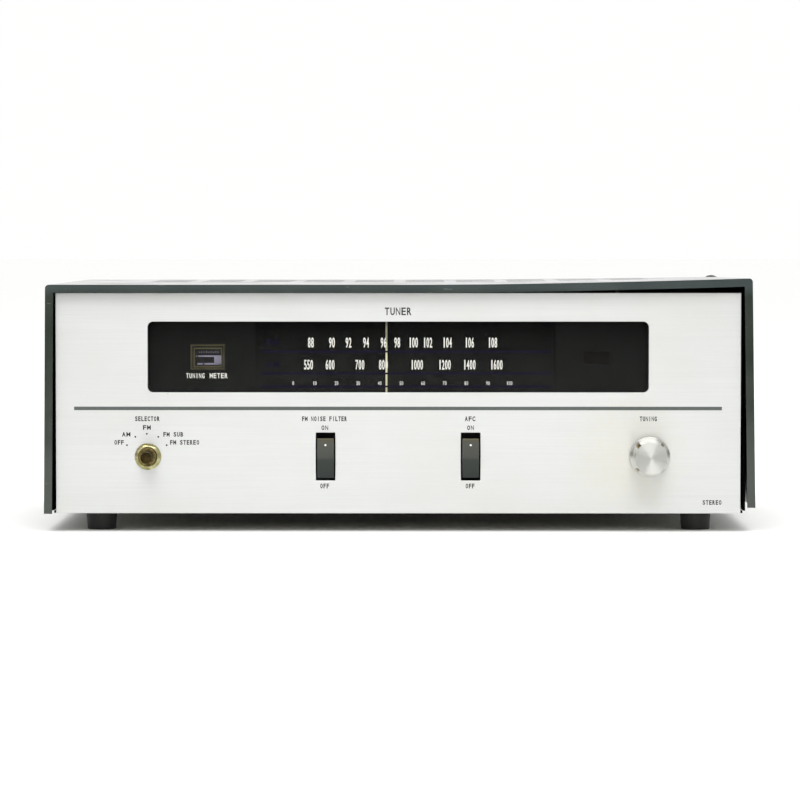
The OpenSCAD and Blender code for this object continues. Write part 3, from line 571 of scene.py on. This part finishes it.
# ---------------------------------------------------------------------------------------------
# Faceplate
# 2.5 mm aluminium, brushed from side to side and clear anodised, so its shine smears upright.
# Fine scratches, specks and a yellow stain near the tuning knob are where hands and tape were.
# ---------------------------------------------------------------------------------------------
def brushed_aluminium():
    """The brush lines are 0.1 mm apart on the real plate, and are drawn about 0.7 mm apart to show."""
    material, tree, shader = new_finish("brushed_anodised_aluminium", "#D8D9D8", 0.42, 1.0)
    shader.inputs["Anisotropic"].default_value = 0.7
    where = add(tree, "ShaderNodeTexCoord").outputs["Object"]
    lines = streaks_of(tree, where, (16, 16, 1500), 5, 0.7)
    cloud = noise(tree, where, 45, 5)
    shade = ramp(tree, lines, [(0.3, "#D4D5D4"), (0.7, "#DBDCDB")])
    patched = blend(tree, ramp(tree, cloud, [(0.45, 0.0), (0.75, 0.5)]), shade, "#D1D0CB")
    stain_at = add(tree, "ShaderNodeMapping", {"Vector": where, "Location": (-124 * MM, 0, -41.5 * MM)})
    distance = add(tree, "ShaderNodeVectorMath", {0: stain_at.outputs[0]}, operation="LENGTH")
    stain_noise = noise(tree, where, 4, 4)
    reach = add(tree, "ShaderNodeMath", {0: stain_noise, 1: -0.008, 2: distance.outputs["Value"]},
                operation="MULTIPLY_ADD")
    stain = ramp(tree, spread(tree, reach.outputs[0], 0.108, 0.114), [(0.0, 0.3), (1.0, 0.0)])
    stained = blend(tree, stain, patched, "#D8D0B4")
    specks = add(tree, "ShaderNodeTexVoronoi", {"Vector": where, "Scale": 1 / (19 * MM)})
    dots = ramp(tree, specks.outputs["Distance"], [(0.018, 0.7), (0.028, 0.0)])
    marked = blend(tree, dots, stained, "#A39F92")
    tree.links.new(marked, shader.inputs["Base Color"])
    rough = spread(tree, lines, 0.3, 0.7, 0.38, 0.48)
    tree.links.new(rough, shader.inputs["Roughness"])
    relief(tree, shader, lines, 0.03, 0.2)
    along = add(tree, "ShaderNodeCombineXYZ", {2: 1.0})
    tree.links.new(along.outputs[0], shader.inputs["Tangent"])
    return material


refine("faceplate", "set", brushed_aluminium(), 0.25 * MM)


# ---------------------------------------------------------------------------------------------
# Lettering
# Screen-printed words, dots and a rule in dark grey ink on the faceplate, and white figures
# and violet lines on the front of the glass. The ink is matt, so it stays flat in any light.
# ---------------------------------------------------------------------------------------------
def letter_mesh(letter, wide, high, pen):
    """One flat letter wide x high metres about its own middle, its strokes thickened by pen a side.
    The outline is drawn a thousand times larger, where the curve's offset works cleanly."""
    curve = bpy.data.curves.new("letter", "FONT")
    curve.body = letter
    curve.resolution_u = 3
    text = bpy.data.objects.new("letter", curve)
    bpy.context.scene.collection.objects.link(text)
    bpy.context.view_layer.update()
    plain = bpy.data.meshes.new_from_object(text)
    xs = [v.co.x for v in plain.vertices]
    ys = [v.co.y for v in plain.vertices]
    fit = Matrix.Diagonal(((wide - 2 * pen) / (max(xs) - min(xs)),
                           (high - 2 * pen) / (max(ys) - min(ys)), 1, 1))
    to_middle = Matrix.Translation((-(max(xs) + min(xs)) / 2, -(max(ys) + min(ys)) / 2, 0))
    outline = text.to_curve(bpy.context.evaluated_depsgraph_get()).copy()
    outline.transform(Matrix.Scale(1000, 4) @ fit @ to_middle)
    outline.offset = pen * 1000
    drawn = bpy.data.objects.new("letter", outline)
    bpy.context.scene.collection.objects.link(drawn)
    bpy.context.view_layer.update()
    mesh = bpy.data.meshes.new_from_object(drawn)
    mesh.transform(Matrix.Scale(0.001, 4))
    for leftover in (drawn, text):
        bpy.data.objects.remove(leftover)
    for leftover in (curve, outline):
        bpy.data.curves.remove(leftover)
    bpy.data.meshes.remove(plain)
    return mesh


def print_word(bm, word, centre, width, height, y, pen=0.12, fill=0.78):
    """Adds one word to bm as flat condensed letters, each in an equal share of the printed width."""
    pitch = width / (len(word) - 1 + fill)
    for i, letter in enumerate(word):
        if letter == " ":
            continue
        wide = pitch * fill * {"I": 0.3, "1": 0.45, "M": 1.12}.get(letter, 1.0)
        x = centre[0] - width / 2 + pitch * (i + fill / 2)
        stand = Matrix.Translation((x, y, centre[1])) @ Matrix.Rotation(math.radians(90), 4, "X")
        printed = letter_mesh(letter, wide, height, pen * MM * (0.3 if letter in "MN" else 1.0))
        printed.transform(stand)
        bm.from_mesh(printed)
        bpy.data.meshes.remove(printed)


def print_dot(bm, centre, radius, y):
    """Adds one flat printed dot about a centre in X and Z."""
    made = bmesh.ops.create_circle(bm, cap_ends=True, segments=16, radius=radius)
    stand = Matrix.Translation((centre[0], y, centre[1])) @ Matrix.Rotation(math.radians(90), 4, "X")
    bmesh.ops.transform(bm, matrix=stand, verts=made["verts"])


ink_film = 0.03 * MM
plate_ink = ink("charcoal_screen_ink", "#1F2221", "#2F3230")
controls_z = 40.4 * MM
print_drop = 0.3 * MM
print_y = plate_front - ink_film
bm = bmesh.new()
for word, x, z, width, height in (
        ("SELECTOR", -134.5, 61.0, 13.1, 2.6), ("FM", -134.8, 56.3, 4.1, 2.5), ("AM", -145.9, 52.6, 4.4, 2.5),
        ("OFF", -149.7, 48.3, 5.0, 2.5), ("FM SUB", -120.6, 52.6, 10.6, 2.5),
        ("FM STEREO", -114.5, 48.3, 15.6, 2.5), ("FM NOISE FILTER", -39.5, 61.0, 24.0, 2.6),
        ("ON", -39.3, 56.2, 3.6, 2.5), ("OFF", -39.4, 24.9, 4.7, 2.6), ("AFC", 38.6, 61.0, 5.6, 2.6),
        ("ON", 38.8, 56.2, 3.6, 2.5), ("OFF", 38.6, 24.9, 4.7, 2.6), ("TUNING", 134.1, 61.0, 9.1, 2.6),
        ("STEREO", 168.4, 16.1, 10.1, 2.5)):
    print_word(bm, word, (x * MM, z * MM - print_drop), width * MM, height * MM, print_y)
dots_x, dots_wide, dots_high = -134.8 * MM, 12.3 * MM, 12.2 * MM
for angle in range(-60, 61, 30):
    around = math.radians(angle)
    spot = (dots_x + dots_wide * math.sin(around), controls_z + dots_high * math.cos(around))
    print_dot(bm, spot, 0.5 * MM, print_y)
lettering = link_mesh("faceplate_lettering", bm, plate_ink)
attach(lettering, "set")

bm = bmesh.new()
print_bar(bm, (-173.8 * MM, 65.3 * MM), (173.5 * MM, 67.2 * MM), print_y)
rule = link_mesh("faceplate_rule", bm, ink("grey_rule_ink", "#4B514E", "#5A605C"))
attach(rule, "set")

bm = bmesh.new()
print_word(bm, "TUNER", (0, 118.3 * MM), 14.2 * MM, 4.1 * MM, print_y, 0.12, 0.8)
title = link_mesh("faceplate_title", bm, plate_ink)
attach(title, "set")

white_ink = ink("white_screen_ink", "#D2D2CB", "#ACACA6")
glass_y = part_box("dial_glass")[0].y - ink_film
bm = bmesh.new()
fm_row = {"88": -46.8, "90": -35.5, "92": -26.6, "94": -17.2, "96": -7.8, "98": -0.5, "100": 8.2, "102": 15.9,
          "104": 26.4, "106": 38.3, "108": 50.7}
am_row = {"550": -48.1, "600": -36.5, "700": -20.5, "800": -7.9, "1000": 10.1, "1200": 25.0, "1400": 38.3,
          "1600": 52.8}
for row, z, high in ((fm_row, 101.5, 5.4), (am_row, 89.6, 5.2)):
    for figure, x in row.items():
        width = 1.65 * len(figure) - 0.2
        print_word(bm, figure, (x * MM, z * MM), width * MM, high * MM, glass_y, 0.09, 0.84)
log_left, log_step = -56.3, 11.61
for i in range(11):
    figure = str(i * 10)
    width = 1.05 * len(figure) - 0.2
    print_word(bm, figure, ((log_left + i * log_step) * MM, 79.7 * MM), width * MM, 2.0 * MM, glass_y, 0.02,
               0.74)
for word, x, width in (("TUNING", -108.8, 9.8), ("METER", -96.3, 9.5)):
    print_word(bm, word, (x * MM, 83.7 * MM), width * MM, 2.7 * MM, glass_y, 0.07, 0.76)
figures = link_mesh("dial_figures", bm, white_ink)
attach(figures, "set")

bm = bmesh.new()
for z in (96.6, 84.9, 77.9):
    print_bar(bm, (-74 * MM, (z - 0.5) * MM), (81.7 * MM, (z + 0.5) * MM), glass_y)
for word, z in (("FM", 101.6), ("AM", 89.7)):
    print_word(bm, word, (-67.5 * MM, z * MM), 6.6 * MM, 3.0 * MM, glass_y)
lines = link_mesh("dial_lines", bm, ink("violet_screen_ink", "#130F22", "#191430", 0.8, 0.05))
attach(lines, "set")


# ---------------------------------------------------------------------------------------------
# Meter card
# Lilac-white print on the meter's black card: a row of small marks above, two lines and a block
# that the hand swings over. Two dull gilt frames are printed on the case round it.
# ---------------------------------------------------------------------------------------------
card_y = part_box("meter_scale")[0].y - ink_film
bm = bmesh.new()
for left, bottom, right, top in ((-109.0, 93.5, -95.0, 94.3), (-99.2, 89.8, -95.0, 93.5),
                                 (-108.2, 89.3, -96.0, 90.2)):
    print_bar(bm, (left * MM, bottom * MM), (right * MM, top * MM), card_y)
for i in range(9):
    x = -107.2 + i * 1.25
    print_bar(bm, (x * MM, 95.6 * MM), ((x + 0.25) * MM, (96.4 + 0.4 * (i % 2)) * MM), card_y)
card = link_mesh("meter_print", bm, ink("lilac_card_ink", "#BBB6CC", "#8E8AA6", 0.7))
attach(card, "set")

case_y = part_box("meter_case")[0].y - ink_film
bm = bmesh.new()
for left, bottom, right, top, bar in ((-111.1, 87.2, -93.5, 100.1, 0.35), (-109.9, 88.1, -94.6, 98.6, 0.55)):
    for low, high in (((left, bottom), (left + bar, top)), ((right - bar, bottom), (right, top)),
                      ((left, bottom), (right, bottom + bar)), ((left, top - bar), (right, top))):
        print_bar(bm, Vector(low) * MM, Vector(high) * MM, case_y)
bezel = link_mesh("meter_gilt_lines", bm, ink("gilt_ink", "#5A5438", "#37352A", 0.6, 0.2))
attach(bezel, "set")


# ---------------------------------------------------------------------------------------------
# Selector
# The bushing's nut clamps the switch to the faceplate. Its knob is gone, so the bare brass
# shaft stands out, tarnished brown; the nickelled nut stays bright beside it.
# ---------------------------------------------------------------------------------------------
brown_brass = brass("brown_selector_brass", "#463B22", "#262010", 0.42)
refine("selector_shaft", "selector", brown_brass, 0.35 * MM, 3)
refine("selector_bushing", "set", brass("tan_bushing_brass", "#8C7C50", "#4C4226", 0.36), 0.35 * MM, 3)


def turn(profile, centre, steps=96):
    """A solid turned about Y. profile is (radius, y) in mm, from the front's middle round to the back."""
    bm = bmesh.new()
    verts = [bm.verts.new((radius * MM, y * MM, 0)) for radius, y in profile]
    edges = [bm.edges.new(pair) for pair in zip(verts, verts[1:])]
    bmesh.ops.spin(bm, geom=verts + edges, cent=(0, 0, 0), axis=(0, 1, 0), angle=math.tau, steps=steps,
                   use_merge=True)
    bmesh.ops.remove_doubles(bm, verts=bm.verts, dist=1e-7)
    bmesh.ops.recalc_face_normals(bm, faces=bm.faces)
    bmesh.ops.translate(bm, vec=(centre[0], 0, centre[1]), verts=bm.verts)
    return bm


nut_low, nut_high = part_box("selector_nut")
selector_at = ((nut_low.x + nut_high.x) / 2, (nut_low.z + nut_high.z) / 2)
bore, chamfer, corner, nut_front = 4.85, 5.5, 6.75, -115.4
bm = turn([(bore, -113.02), (bore, -115.1), (bore + 0.3, nut_front), (chamfer, nut_front), (corner, -114.7),
           (corner, -113.75), (7.0, -113.7), (7.12, -113.55), (7.12, -113.02), (bore, -113.02)],
          selector_at, 72)
for vert in bm.verts:
    x, z = vert.co.x - selector_at[0], vert.co.z - selector_at[1]
    radius = math.hypot(x, z) / MM
    if abs(radius - corner) < 0.05:
        angle = (math.degrees(math.atan2(z, x)) + 12) % 60 - 30
        flat_radius = corner * math.cos(math.radians(30)) / math.cos(math.radians(angle))
        vert.co.x = selector_at[0] + x * flat_radius / radius
        vert.co.z = selector_at[1] + z * flat_radius / radius
        if vert.co.y < -114.5 * MM:
            vert.co.y = (nut_front + (flat_radius - chamfer) * 0.56) * MM
nut = link_mesh("selector_nut_turned", bm, brass("nickelled_brass_nut", "#B9B48C", "#86804F", 0.26), 25)
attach(nut, "set")
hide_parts("selector_nut")
refine("selector_wafers", "set", phenolic("phenolic_wafer", "#8A5A2C", "#6B421D"), 0.2 * MM)
refine("selector_rotors", "selector", nylon, 0.2 * MM)
refine("power_switch", "set", phenolic("brown_bakelite", "#3A2418", "#2A1910"), 0.5 * MM, 3)


# ---------------------------------------------------------------------------------------------
# Rockers
# Two moulded black rocker switches, each with a white dot at its upper end. Their upper halves
# carry painted light, paler and browner than the lower halves, which carry painted shade.
# ---------------------------------------------------------------------------------------------
def rocker_plastic():
    """Black plastic with painted light: a brownish lit top edge, paler above the ridge and painted
    shade below, as light from above falls on the tilted faces.
    """
    material, tree, shader = new_finish("black_plastic_painted_light", "#3A3C36", 0.42)
    shader.inputs["Specular IOR Level"].default_value = 0.35
    where = add(tree, "ShaderNodeTexCoord").outputs["Object"]
    drift = noise(tree, where, 2.5, 5)
    height = add(tree, "ShaderNodeSeparateXYZ", {0: where}).outputs["Z"]
    uneven = add(tree, "ShaderNodeMath", {0: drift, 1: 0.001, 2: height}, operation="MULTIPLY_ADD")
    # Painted light and shade: the upper half and its top edge are painted paler and browner, the lower half
    # darker.
    painted_light_rise = spread(tree, uneven.outputs[0], 0.0305, 0.0520)
    shade = ramp(tree, painted_light_rise, [(0.0, "#1E2421"), (0.41, "#282E2A"), (0.47, "#3B3D38"), (0.83, "#454640"),
                            (0.93, "#49442F")])
    tree.links.new(shade, shader.inputs["Base Color"])
    edge = add(tree, "ShaderNodeAttribute", attribute_name="wear")
    tree.links.new(ramp(tree, edge.outputs["Fac"], [(0.0, 0.44), (1.0, 0.3)]), shader.inputs["Roughness"])
    grain = noise(tree, where, 0.5, 3)
    relief(tree, shader, grain, 0.08, 0.2)
    return material


rocker_finish = rocker_plastic()
dot_paint = ink("white_dot_paint", "#F4F4F0", "#DADAD4")
case_finish = moulded("black_switch_case", "#070707", "#0E0E0E", 0.5)
for node, body in (("noise_filter_rocker", "noise_filter"), ("afc_rocker", "afc")):
    refine(node, body, rocker_finish, 0.45 * MM, 3)
    low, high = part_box(node)
    rocker_face = BVHTree.FromBMesh(cad_copy(node))
    before = Vector(((low.x + high.x) / 2, low.y - 10 * MM, controls_z + 6.3 * MM))
    spot, outward = rocker_face.ray_cast(before, Vector((0, 1, 0)))[:2]
    bm = turn([(0, -0.08), (0.42, -0.08), (0.52, -0.02), (0.52, 0.2), (0, 0.2)], (0, 0), 24)
    face_turn = Matrix.Rotation(math.atan2(-outward.z, -outward.y), 4, "X")
    bmesh.ops.transform(bm, matrix=Matrix.Translation(spot) @ face_turn, verts=bm.verts)
    dot = link_mesh(body + "_dot", bm, dot_paint)
    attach(dot, body)
refine("rocker_cases", "set", case_finish, 0.2 * MM)


# ---------------------------------------------------------------------------------------------
# Tuning knob
# Turned from solid aluminium: a flat face cut in one pass, so it shines in rays, and a polished
# side that widens to a skirt. Four flutes in the side are coloured brown; a set screw is in it.
# ---------------------------------------------------------------------------------------------
def turned_aluminium(centre):
    """A face turned on the lathe: the cut runs round, so light spreads into rays from the middle."""
    material, tree, shader = new_finish("turned_aluminium", "#D2D2CD", 0.42, 1.0)
    shader.inputs["Anisotropic"].default_value = 1.0
    where = add(tree, "ShaderNodeTexCoord").outputs["Object"]
    from_axis = add(tree, "ShaderNodeVectorMath", {0: where, 1: centre}, operation="SUBTRACT")
    flat = add(tree, "ShaderNodeVectorMath", {0: from_axis.outputs[0], 1: (1, 0, 1)}, operation="MULTIPLY")
    outward = add(tree, "ShaderNodeVectorTransform", {0: flat.outputs[0]}, vector_type="VECTOR",
                  convert_from="OBJECT", convert_to="WORLD")
    tree.links.new(outward.outputs[0], shader.inputs["Tangent"])
    radius = add(tree, "ShaderNodeVectorMath", {0: flat.outputs[0]}, operation="LENGTH")
    # The flute faces are coloured brown.
    flute_colour = add(tree, "ShaderNodeAttribute", attribute_name="flute_brown")
    shade = blend(tree, flute_colour.outputs["Fac"], colour("#D2D2CD"), "#7C6430")
    tree.links.new(shade, shader.inputs["Base Color"])
    cuts = add(tree, "ShaderNodeTexNoise", {"W": radius.outputs["Value"], "Scale": 1 / (0.35 * MM),
                                            "Detail": 3}, noise_dimensions="1D")
    relief(tree, shader, cuts.outputs[0], 0.1, 0.2)
    return material


knob_low, knob_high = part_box("tuning_knob")
knob_centre = (knob_low + knob_high) / 2
bm = turn([(0, -129.8), (8.2, -130.0), (8.6, -129.9), (8.75, -129.6), (8.75, -128.6), (8.45, -128.3),
           (8.5, -127.7), (9.3, -118.3), (9.55, -117.6), (10.55, -117.2), (10.85, -116.8), (10.85, -114.4),
           (10.55, -114.0), (9.0, -113.8), (3.3, -113.8), (3.3, -127.0), (0, -127.0)],
          (knob_centre.x, knob_centre.z), 96)
flute_depth = 1.1 * MM
flute_brown = bm.loops.layers.float_color.new("flute_brown")
cut = set()
for vert in bm.verts:
    x, z = vert.co.x - knob_centre.x, vert.co.z - knob_centre.z
    radius = math.hypot(x, z)
    from_flute = (math.degrees(math.atan2(z, x)) + 360 - 45) % 90
    on_side = 8.4 * MM < radius < 9.6 * MM and -128.5 * MM < vert.co.y < -117.5 * MM
    if on_side and min(from_flute, 90 - from_flute) < 5:
        vert.co.x = knob_centre.x + x * (radius - flute_depth) / radius
        vert.co.z = knob_centre.z + z * (radius - flute_depth) / radius
        cut.add(vert)
for face in bm.faces:
    for loop in face.loops:
        loop[flute_brown] = (1, 1, 1, 1) if loop.vert in cut else (0, 0, 0, 1)
knob = link_mesh("tuning_knob_turned", bm, turned_aluminium(tuple(knob_centre)), 20)
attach(knob, "tuning")
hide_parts("tuning_knob")
dress("knob_set_screw", plated_steel("blued_screw_steel", "#4C4C4C", "#3A3A3A", 0.3, 3))


# ---------------------------------------------------------------------------------------------
# Cover
# Sheet steel folded round the set and sprayed slate grey, with a painted paler, bluer reflection
# along the top. It is chipped along its front rim and folds, and its right-hand end has sprung
# up off its seat, less at the rear.
# ---------------------------------------------------------------------------------------------
slate = enamel("slate_grey_enamel", "#272D29", "#31372F", "#A8A79C", 0.11, 0.46, 0.62, 0.03)
tree = slate.node_tree
shader = tree.nodes["Principled BSDF"]
sprayed = shader.inputs["Base Color"].links[0].from_socket
where = add(tree, "ShaderNodeTexCoord").outputs["Object"]
height = add(tree, "ShaderNodeSeparateXYZ", {0: where}).outputs["Z"]
# Painted reflection: the top of the cover, front rim included, is painted paler and bluer, as the sky it
# mirrors.
painted_reflection_band = spread(tree, height, 0.126, 0.131, 0.0, 0.8)
with_painted_top_reflection = blend(tree, painted_reflection_band, sprayed, "#3E4646")
scuffs = ramp(tree, streaks_of(tree, where, (90, 300, 1400), 3, 0.7), [(0.70, 0.0), (0.76, 0.55)])
tree.links.new(blend(tree, scuffs, with_painted_top_reflection, "#8E918A"), shader.inputs["Base Color"])
bm = cad_copy("cover")
cover_low, cover_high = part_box("cover")
lift_start, top_above, rear_ease = 20 * MM, 110 * MM, 1.7 * MM
for vert in bm.verts:
    along = max(0.0, vert.co.x - lift_start) / (cover_high.x - lift_start)
    depth = (vert.co.y - cover_low.y) / (cover_high.y - cover_low.y)
    if vert.co.z > top_above:
        vert.co.z -= rear_ease * along ** 1.5 * depth
soften(bm, 0.35 * MM, 3, 35)
cover = link_mesh("cover_sprayed", bm, slate)
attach(cover, "set")
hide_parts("cover")
refine("rear_panel", "set", slate, 0.3 * MM)


# ---------------------------------------------------------------------------------------------
# Rear fittings
# Phono jacks, a terminal board with four slotted screws, a fuse holder, the cord's grommet, and
# the ferrite bar aerial, wound with cotton-covered wire, that swings out on its pivot.
# ---------------------------------------------------------------------------------------------
refine("output_jacks", "set", bright_zinc, 0.25 * MM)
refine("antenna_board", "set", board, 0.3 * MM)
refine("antenna_screws", "set", bright_zinc, 0.4 * MM, 3)


def head_tops(node):
    """The outermost rear point of each separate screw of a node, in order from the left."""
    bm = cad_copy(node)
    left, tops = set(bm.verts), []
    while left:
        found, waiting = [], [left.pop()]
        while waiting:
            vert = waiting.pop()
            found.append(vert.co.copy())
            for edge in vert.link_edges:
                other = edge.other_vert(vert)
                if other in left:
                    left.discard(other)
                    waiting.append(other)
        middle = [(min(axis) + max(axis)) / 2 for axis in zip(*found)]
        tops.append(Vector((middle[0], max(point.y for point in found), middle[2])))
    bm.free()
    return sorted(tops, key=lambda top: (round(top.x / MM), round(top.z / MM)))


def cut_heads(name, tops, arm, width, turns):
    """Driver slots in screw heads, drawn as dark bars of painted shade rather than cut in: one bar at
    each of the given turns, each head set differently.
    """
    bm = bmesh.new()
    for number, top in enumerate(tops):
        for degrees in turns:
            shape = Matrix.Diagonal((2 * arm, 0.3 * MM, width, 1))
            made = bmesh.ops.create_cube(bm, size=1, matrix=shape)
            aim = Matrix.Rotation(math.radians(degrees + 37 * number), 4, "Y")
            place = Matrix.Translation(top - Vector((0, 0.12 * MM, 0)))
            bmesh.ops.transform(bm, matrix=place @ aim, verts=made["verts"])
    # Painted shade: the dark bars stand for the shade inside the slots and recesses.
    slots = link_mesh(name, bm, moulded("painted_shade_in_screw_slots", "#1C1B19", "#2C2A26", 0.8))
    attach(slots, "set")


cut_heads("terminal_screw_slots", head_tops("antenna_screws"), 2.2 * MM, 0.7 * MM, (0,))
refine("fuse_holder", "set", case_finish, 0.5 * MM, 3)
refine("cord_grommet", "set", moulded("black_grommet_rubber", "#121212", "#1D1D1D", 0.6), 0.2 * MM)
refine("antenna_bracket", "set", bright_zinc, 0.2 * MM)
refine("antenna_holder", "antenna", case_finish, 0.4 * MM, 3)
refine("ferrite_rod", "antenna", moulded("fired_ferrite", "#2B2724", "#3A3430", 0.5), 0.3 * MM)
rod_low, rod_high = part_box("ferrite_rod")
rod_middle = (rod_low + rod_high) / 2
wire_turns = [(4.55 if i % 2 else 4.2, -14.3 + 0.4 * i) for i in range(72)]
bm = turn([(4.0, -14.5)] + wire_turns + [(4.0, 14.5)], (0, 0), 32)
on_rod = Matrix.Translation(rod_middle - Vector((12 * MM, 0, 0)))
bmesh.ops.transform(bm, matrix=on_rod @ Matrix.Rotation(math.radians(90), 4, "Z"), verts=bm.verts)
winding = link_mesh("antenna_winding", bm, moulded("cotton_covered_wire", "#74543A", "#8E6E50", 0.8, 0.3), 60)
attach(winding, "antenna")


# ---------------------------------------------------------------------------------------------
# Feet and screws
# Four moulded rubber feet, each on a machine screw with a nut inside, and pan-head screws that
# hold the rear panel and the cover.
# ---------------------------------------------------------------------------------------------
rubber = moulded("black_foot_rubber", "#141414", "#222222", 0.62)
refine("feet", "set", rubber, 0.5 * MM, 3)
refine("foot_screws", "set", bright_zinc, 0.3 * MM)
refine("panel_screws", "set", bright_zinc, 0.5 * MM, 3)
cut_heads("panel_screw_recesses", head_tops("panel_screws"), 1.5 * MM, 0.6 * MM, (0, 90))
